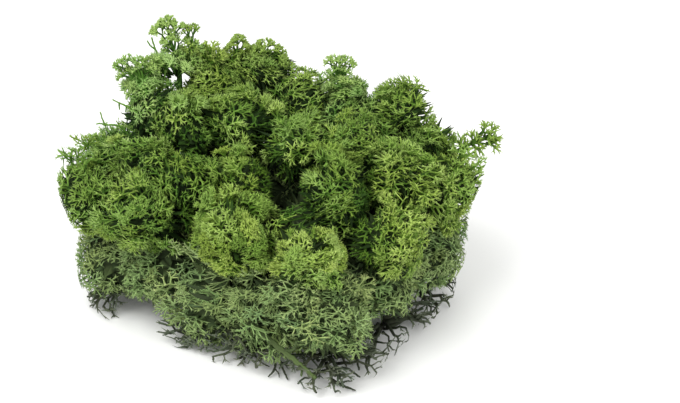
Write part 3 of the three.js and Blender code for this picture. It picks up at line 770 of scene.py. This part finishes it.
def grow_tuft(tuft, seed):
    """A tuft: its core, the layers of its heads, its sprays and its bare twigs."""
    growth = Growth(seed)
    hold = bed_limit("upper" if tuft["is_upper"] else "lower")

    def limit(points):
        return hold(sway(points))

    centre, radius, inward = tuft["centre"], tuft["radius"], tuft["inward"]
    if not tuft["is_airy"]:
        core_share = HIDDEN_CORE_SHARE if tuft["name"] in HIDDEN_TUFTS else CORE_SHARE
        rise = 0.0 if tuft["is_upper"] else LOWER_CORE_RISE
        grow_core(growth, centre, radius, inward, core_share, rise, limit)
    for layer, heads in tuft["layers"]:
        if not heads:
            continue
        kind = FINE_HEAD if layer["kind"] is HEAD and tuft["name"] in FINE_TUFTS else layer["kind"]
        homes, ways = np.array([h[0] for h in heads]), np.array([h[1] for h in heads])
        radii = np.array([h[2] for h in heads])
        roots = centre + ways * (radius * ROOT_OUT) + inward * radius * ROOT_IN
        is_brown = layer is LAYERS[0] and tuft["name"] in BROWN_TUFTS
        tints = growth.random.uniform(*(BROWN_TINTS if is_brown else HEAD_TINTS), len(heads))
        # tips are darkened for the deeper layers, in clefts and low on upper tufts: painted shade
        tips = layer["bright"] * (1 + growth.jitter(len(heads), TIP_SCATTER)) * light_at(homes, tuft)
        grow_heads(growth, roots, homes, radii, tints, tips, kind, limit)
    free = bed_limit("spray")
    for name, *spray in SPRAYS:
        if name == tuft["name"]:
            grow_spray(growth, *spray, free)
    for girth, points in TWIGS.get(tuft["name"], ()):
        grow_twig(growth, girth, points, TWIG_CLIMBS.get(tuft["name"], TWIG_CLIMB), free)
    return growth


SPRAY_STEM, SPRAY_STEM_MARKS, SPRAY_STEM_TINT = (0.85, 0.55), (0.08, 0.3), 0.4  # half widths, u and tint
SPRAY_BRANCH, SPRAY_BRANCH_MARKS = (0.52, 0.42), (0.22, 0.36)
SPRAY_LIFT = 0.35  # how much the heads grow upwards
SHORTEST_BRANCH, BRANCH_SHARE = 3, 0.8  # a longer way to a head has a branch for this share of it
BRANCH_BOW = 0.08
SPRAY_TINTS, SPRAY_TIPS = (0.42, 0.84), (0.86, 1.0)


def grow_spray(growth, root, fork_place, kind, heads, limit):
    """An open spray: one dark stem from its root to its fork, and a thinner one from there to each head."""
    random = growth.random
    path = bowed_path(root, fork_place, (0.7, 0, 0), 7, 0.3, random)
    girths, marks = np.linspace(*SPRAY_STEM, 7), np.linspace(*SPRAY_STEM_MARKS, 7)
    grow_tube(growth, path, girths, marks, SPRAY_STEM_TINT, 6, limit)
    middle = np.array(fork_place, float)
    for x, y, z, radius in heads:
        top = np.array([x, y, z], float)
        way = unit(unit(top - middle) + [0, 0, SPRAY_LIFT])
        home = top - way * radius
        start = middle - unit(home - middle) * 0.3
        length = np.linalg.norm(home - middle)
        if length > SHORTEST_BRANCH:
            joint = middle + (home - middle) * BRANCH_SHARE
            bow = unit(np.cross(home - middle, [0, 1.0, 0])) * random.uniform(-BRANCH_BOW, BRANCH_BOW) * length
            path = bowed_path(start, joint, bow, 5, 0.12, random)
            tint = random.uniform(0.1, 0.8)
            girths, marks = np.linspace(*SPRAY_BRANCH, 5), np.linspace(*SPRAY_BRANCH_MARKS, 5)
            grow_tube(growth, path, girths, marks, tint, 5, limit)
            start = joint - (home - middle) / length * 0.4
        tints, tips = random.uniform(*SPRAY_TINTS, 1), random.uniform(*SPRAY_TIPS, 1)
        grow_heads(growth, start[None], home[None], np.array([radius]), tints, tips, kind, limit)


def grow_twig(growth, girth, points, climb, limit, taper=TWIG_TAPER):
    """A bare, uneven twig with a blunt end."""
    path = smooth_path(points, 3)
    path[1:-1] += growth.jitter((len(path) - 2, 3), girth * TWIG_WOBBLE)
    girths = np.linspace(girth, girth * taper, len(path)) * (1 + growth.jitter(len(path), TWIG_UNEVENNESS))
    girths[-1] *= TWIG_END
    grow_tube(growth, path, girths, np.linspace(*climb, len(path)), growth.random.uniform(0.1, 0.8), 6, limit)


# ---- The dead stems under the clump ----
WIRES = 16  # stems of each knot
WIRE_LENGTH = (9, 24)
WIRE_SPREAD = 1.9  # how far they turn from straight out, in radians
WIRE_GIRTHS = (0.55, 1.0)
WIRE_STARTS, WIRE_START_REACH = (2, 9), (0, 4)  # the heights of their starts, and how far out these lie
WIRE_LOW_SHARE, WIRE_LOW_ENDS, WIRE_HIGH_ENDS = 0.75, (0.6, 5), (6, 12)  # most end low, and some high
WIRE_BOW, WIRE_WOBBLE = (0, 4), 0.9
WIRE_FORKS = 3  # branches of each stem, and below, how they turn and how long they and their claws are
FORK_TURN, FORK_CLIMB, FORK_LENGTH = (0.4, 1.1), (-0.5, 0.6), (3, 8)
CLAW_TURN, CLAW_CLIMB, CLAW_LENGTH = 0.7, (-0.5, 0.7), (1.2, 2.6)


def grow_wire_fork(growth, foot, angle, girth, tint, limit):
    """A branch of a dead stem, with two claws near its end."""
    random = growth.random
    turn = angle + random.uniform(*FORK_TURN) * random.choice((-1, 1))
    branch = np.array([math.cos(turn), math.sin(turn), random.uniform(*FORK_CLIMB)])
    tip = foot + branch * random.uniform(*FORK_LENGTH)
    twig = bowed_path(foot, tip, (0, 0, random.uniform(0, 1)), 5, 0.4, random)
    grow_tube(growth, twig, girth * np.linspace(0.65, 0.3, 5), np.linspace(0.3, 0.9, 5), tint + 0.03, 4, limit)
    for side in (-1, 1):
        claw = branch + np.array([-branch[1], branch[0], random.uniform(*CLAW_CLIMB)]) * side * CLAW_TURN
        hook = bowed_path(twig[3], twig[3] + claw * random.uniform(*CLAW_LENGTH), 0, 3, 0.1, random)
        grow_tube(growth, hook, girth * np.array([0.4, 0.3, 0.12]), (0.6, 0.8, 1), tint + 0.05, 4, limit)


def grow_wires(tuft, seed):
    """Dark, bare, forked stems that spread over the floor from under a tuft."""
    growth = Growth(seed)
    random = growth.random
    limit = bed_limit("wires")
    centre = tuft["centre"]
    away = math.atan2(centre[1], centre[0])
    for _ in range(WIRES):
        angle = away + random.uniform(-WIRE_SPREAD, WIRE_SPREAD)
        way = np.array([math.cos(angle), math.sin(angle), 0])
        length = random.uniform(*WIRE_LENGTH)
        start = np.array([centre[0], centre[1], random.uniform(*WIRE_STARTS)])
        start = start + way * random.uniform(*WIRE_START_REACH)
        end = start + way * length
        end[2] = random.uniform(*(WIRE_LOW_ENDS if random.random() < WIRE_LOW_SHARE else WIRE_HIGH_ENDS))
        path = bowed_path(start, end, (0, 0, random.uniform(*WIRE_BOW)), 8, WIRE_WOBBLE, random)
        tint = random.uniform(0.05, 0.9)
        girth = random.uniform(*WIRE_GIRTHS)
        grow_tube(growth, path, girth * np.linspace(1, 0.45, 8), np.linspace(0.1, 0.6, 8), tint, 5, limit)
        for step in random.choice(np.arange(3, 8), WIRE_FORKS, replace=False):
            grow_wire_fork(growth, path[step], angle, girth, tint, limit)
    for girth, points in DEAD_TWIGS.get(tuft["name"], ()):
        grow_twig(growth, girth, points, DEAD_TWIG_CLIMB, bed_limit("spray"), DEAD_TWIG_TAPER)
    return growth


def make_piece(name, growth, material):
    """The finished mesh of one piece, in metres, with its marks as its map."""
    points = growth.all_points() * MM
    triangles = np.concatenate(growth.triangles)
    marks = np.concatenate(growth.marks)
    mesh = bpy.data.meshes.new(name)
    mesh.vertices.add(len(points))
    mesh.vertices.foreach_set("co", points.astype(np.float32).ravel())
    mesh.loops.add(len(triangles) * 3)
    mesh.loops.foreach_set("vertex_index", triangles.astype(np.int32).ravel())
    mesh.polygons.add(len(triangles))
    mesh.polygons.foreach_set("loop_start", np.arange(0, len(triangles) * 3, 3, dtype=np.int32))
    mesh.polygons.foreach_set("use_smooth", np.ones(len(triangles), bool))
    uv = mesh.uv_layers.new(name="OFBake")
    uv.data.foreach_set("uv", marks.astype(np.float32).ravel())
    mesh.update()
    mesh.validate()
    mesh.materials.append(material)
    piece = bpy.data.objects.new(name, mesh)
    bpy.context.scene.collection.objects.link(piece)
    return piece


# ---- Materials ----
def srgb(hex_code):
    """A screen colour as the shader wants it."""
    value = []
    for shift in (16, 8, 0):
        c = (hex_code >> shift & 255) / 255
        value.append(c / 12.92 if c <= 0.04045 else ((c + 0.055) / 1.055) ** 2.4)
    return (*value, 1.0)


# tone: core, base, lower stems, upper stems, tips. The core colour is painted shade; the darkening from the
# tips down to the base is partly the lichen's own colour and partly painted shade of the clump's inside.
TONES = {
    "fresh": (0x101C05, 0x3A5A12, 0x5C7E28, 0x88A44A, 0xA2BC68),
    "green": (0x0E1A05, 0x305212, 0x4E7224, 0x7A9842, 0x96B262),
    "cool": (0x0C1805, 0x2E5414, 0x4C742A, 0x80A454, 0xA6C47A),
    "shade": (0x222C18, 0x5C7246, 0x7C9460, 0x8AA268, 0x98AC74),
    "dead": (0x161910, 0x282D20, 0x3A4132, 0x566050, 0x7A8272),
}
TONE_STOPS = (0.0, 0.14, 0.38, 0.78, 1.0)
# how the heads' tints change them
TINTS = ((0, (0.8, 0.92, 0.74)), (0.35, (1, 1, 0.95)), (0.7, (1.16, 1.08, 0.9)), (1, (0.8, 0.92, 0.95)))
TINT_SCALE = 1.2  # keeps the tints within 1 in their ramp, and the specks' range makes up for it
SPECK_STRETCH = (26.0, 90.0, 1.0)  # how fine the specks are, along and round the stems
SPECK_RANGE = (0.92, 1.5)  # how dark and how light they are
ROUGHNESS, SPECULAR = 0.82, 0.25


def add_node(tree, kind, inputs, **settings):
    """A node with these settings, and a value or a link at each of these inputs."""
    node = tree.nodes.new(f"ShaderNode{kind}")
    for name, value in settings.items():
        setattr(node, name, value)
    for socket, value in inputs.items():
        if isinstance(value, bpy.types.NodeSocket):
            tree.links.new(value, node.inputs[socket])
        else:
            node.inputs[socket].default_value = value
    return node


def make_ramp(tree, source, stops):
    """The colour of the source on a ramp of stops."""
    ramp = add_node(tree, "ValToRGB", {"Fac": source})
    elements = ramp.color_ramp.elements
    elements[0].position, elements[0].color = stops[0]
    elements[1].position, elements[1].color = stops[-1]
    for position, colour in stops[1:-1]:
        elements.new(position).color = colour
    return ramp.outputs["Color"]


def make_material(tone):
    """The look of one tone: its colours from the core to the tips, times the tint, times fine specks."""
    material = bpy.data.materials.new(f"lichen_{tone}")
    material.use_nodes = True
    tree = material.node_tree
    tree.nodes.clear()
    place = add_node(tree, "UVMap", {}, uv_map="OFBake").outputs["UV"]
    split = add_node(tree, "SeparateXYZ", {0: place})
    climb = make_ramp(tree, split.outputs["X"], [(stop, srgb(c)) for stop, c in zip(TONE_STOPS, TONES[tone])])
    tints = [(stop, (*(c / TINT_SCALE for c in colour), 1)) for stop, colour in TINTS]
    tint = make_ramp(tree, split.outputs["Y"], tints)
    mix = add_node(tree, "Mix", {"Factor": 1.0, "A": climb, "B": tint}, data_type="RGBA", blend_type="MULTIPLY")
    stretch = add_node(tree, "VectorMath", {0: place, 1: SPECK_STRETCH}, operation="MULTIPLY")
    noise = add_node(tree, "TexNoise", {"Vector": stretch.outputs[0], "Scale": 1.0, "Detail": 2.0})
    specks = {"Value": noise.outputs["Fac"], "From Min": 0.3, "From Max": 0.7}
    specks = add_node(tree, "MapRange", {**specks, "To Min": SPECK_RANGE[0], "To Max": SPECK_RANGE[1]})
    scaled = {0: mix.outputs["Result"], "Scale": specks.outputs["Result"]}
    colour = add_node(tree, "VectorMath", scaled, operation="SCALE").outputs[0]
    surface = {"Base Color": colour, "Roughness": ROUGHNESS, "Specular IOR Level": SPECULAR}
    shader = add_node(tree, "BsdfPrincipled", surface)
    add_node(tree, "OutputMaterial", {"Surface": shader.outputs[0]})
    return material


# ---- Camera, light and floor ----
IMAGE_WIDTH = 680
SCALE = 2.7 / MM  # pixels a metre, where the clump stands
SENSOR = 36.0
DISTANCE = 0.9
CLUMP_MIDDLE = 27 * MM
AIM_SHIFT = (70 / SCALE, 37.5 / SCALE)  # how far right of and above the clump's middle the camera looks
# place, width and power of each light
LIGHTS = {"key": ((-0.5, -0.5, 1.1), 0.8, 11), "fill": ((0.8, -0.7, 0.7), 0.9, 5)}
LIT_PLACE = (0, 0, 0.05)
SKY_LIGHT = 0.95
FLOOR_HALF, FLOOR_COLOUR, FLOOR_ROUGHNESS = 4.0, (0.92, 0.92, 0.91, 1), 0.9


def look(obj, target):
    """Turns a camera or a light to the target."""
    way = Vector(target) - obj.location
    obj.rotation_euler = way.to_track_quat("-Z", "Y").to_euler()


def set_camera():
    forward = Vector(VIEW_LINE)
    upward = Vector((0, math.sin(CAMERA_TILT), math.cos(CAMERA_TILT)))
    aim = Vector((AIM_SHIFT[0], 0, CLUMP_MIDDLE)) + upward * AIM_SHIFT[1]
    data = bpy.data.cameras.new("camera")
    data.sensor_width = SENSOR
    data.lens = SCALE * DISTANCE / IMAGE_WIDTH * SENSOR
    camera = bpy.data.objects.new("camera", data)
    camera.location = aim - forward * DISTANCE
    look(camera, aim)
    bpy.context.scene.collection.objects.link(camera)
    bpy.context.scene.camera = camera


def add_light(name, place, size, power):
    data = bpy.data.lights.new(name, "AREA")
    data.shape = "DISK"
    data.size = size
    data.energy = power
    light = bpy.data.objects.new(name, data)
    light.location = place
    look(light, LIT_PLACE)
    bpy.context.scene.collection.objects.link(light)


def set_stage():
    """A pale floor in soft studio light."""
    scene = bpy.context.scene
    world = bpy.data.worlds.new("studio")
    world.use_nodes = True
    background = world.node_tree.nodes["Background"]
    background.inputs["Color"].default_value = (1, 1, 1, 1)
    background.inputs["Strength"].default_value = SKY_LIGHT
    scene.world = world
    scene.view_settings.view_transform = "Standard"
    for name, (place, size, power) in LIGHTS.items():
        add_light(name, place, size, power)
    mesh = bpy.data.meshes.new("floor")
    half = FLOOR_HALF
    corners = [(-half, -half, 0), (half, -half, 0), (half, half, 0), (-half, half, 0)]
    mesh.from_pydata(corners, [], [(0, 1, 2, 3)])
    floor = bpy.data.objects.new("floor", mesh)
    scene.collection.objects.link(floor)
    material = bpy.data.materials.new("floor")
    material.use_nodes = True
    shader = material.node_tree.nodes["Principled BSDF"]
    shader.inputs["Base Color"].default_value = FLOOR_COLOUR
    shader.inputs["Roughness"].default_value = FLOOR_ROUGHNESS
    mesh.materials.append(material)


TUFT_SEED, WIRE_SEED = 100, 300  # of the first tuft, and of the stems under it


def main():
    set_camera()
    set_stage()
    tufts = list_tufts()
    lay_out_heads(tufts)
    materials = {tone: make_material(tone) for tone in TONES}
    for index, tuft in enumerate(tufts):
        name = tuft["name"]
        pieces = [(f"lichen_{name}", f"tuft_{name}", tuft["tone"], grow_tuft(tuft, TUFT_SEED + index))]
        if name in KNOTTED_TUFTS:
            pieces.append((f"wires_{name}", f"stems_{name}", "dead", grow_wires(tuft, WIRE_SEED + index)))
        for piece_name, node, tone, growth in pieces:
            piece = make_piece(piece_name, growth, materials[tone])
            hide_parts(node)
            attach(piece, "root")


main()
